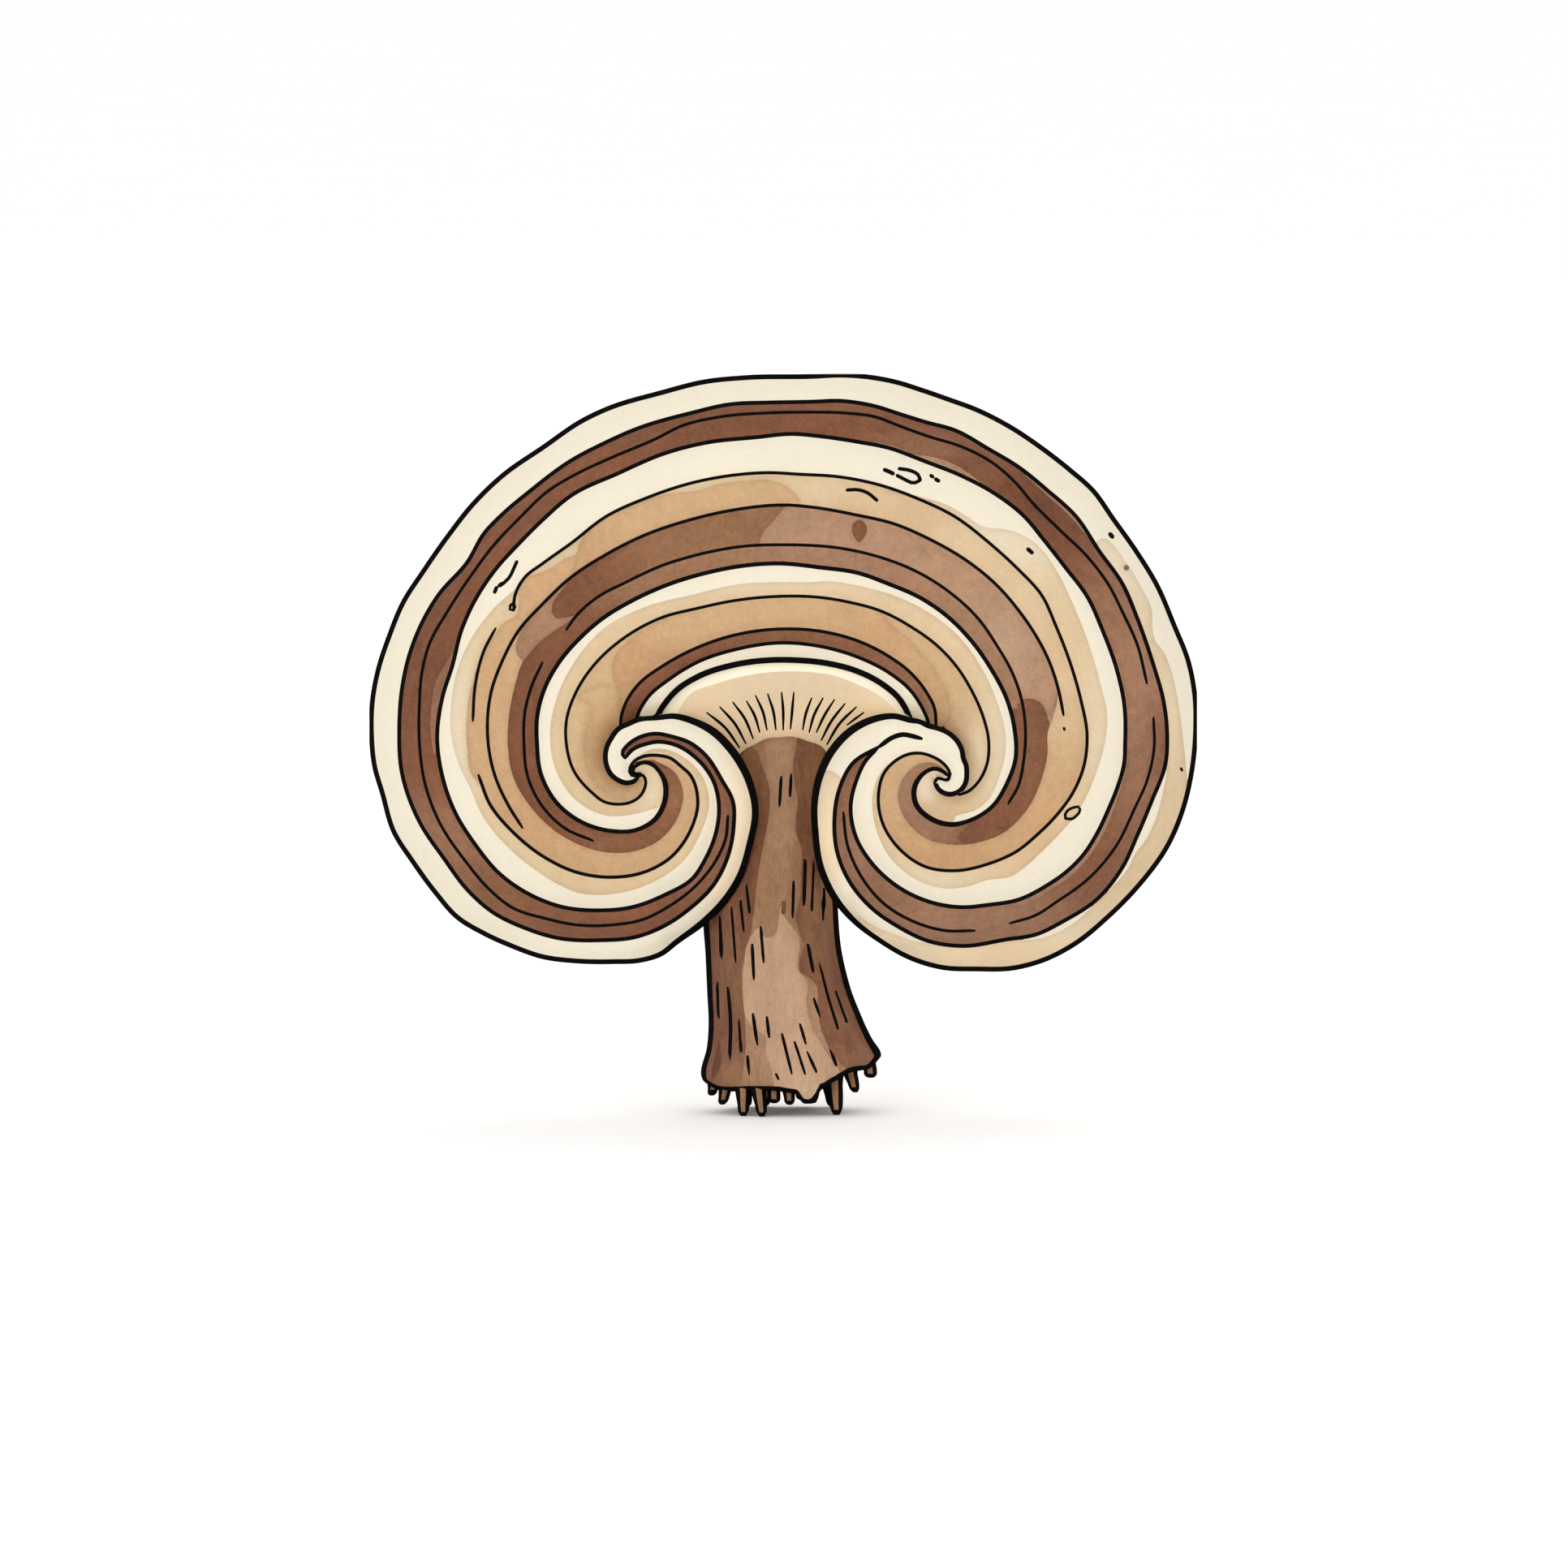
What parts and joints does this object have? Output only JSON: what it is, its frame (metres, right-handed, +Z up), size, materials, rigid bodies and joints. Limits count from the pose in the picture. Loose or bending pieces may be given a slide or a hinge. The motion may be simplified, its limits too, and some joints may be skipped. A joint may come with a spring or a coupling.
{
  "type": "turkey tail fungus",
  "caption": "Fan-shaped zoned bracket fungus whose lower lobes roll inward into whorls, on a fibrous flared stem that stands on the level tips of its rootlets.",
  "frame": {"origin": "on the ground under the middle of the fungus's box", "axes": "+X across the fan to the viewer's right, +Y away from the viewer, +Z up the stem"},
  "size_m": [0.08, 0.021, 0.0712],
  "materials": {
    "cap_skin": "velvety and matt, in cream, tan and brown growth zones",
    "stem_fibre": "matt and fibrous"
  },
  "bodies": {
    "root": {"cap": "cap_skin", "stem": "stem_fibre"}
  },
  "joints": []
}
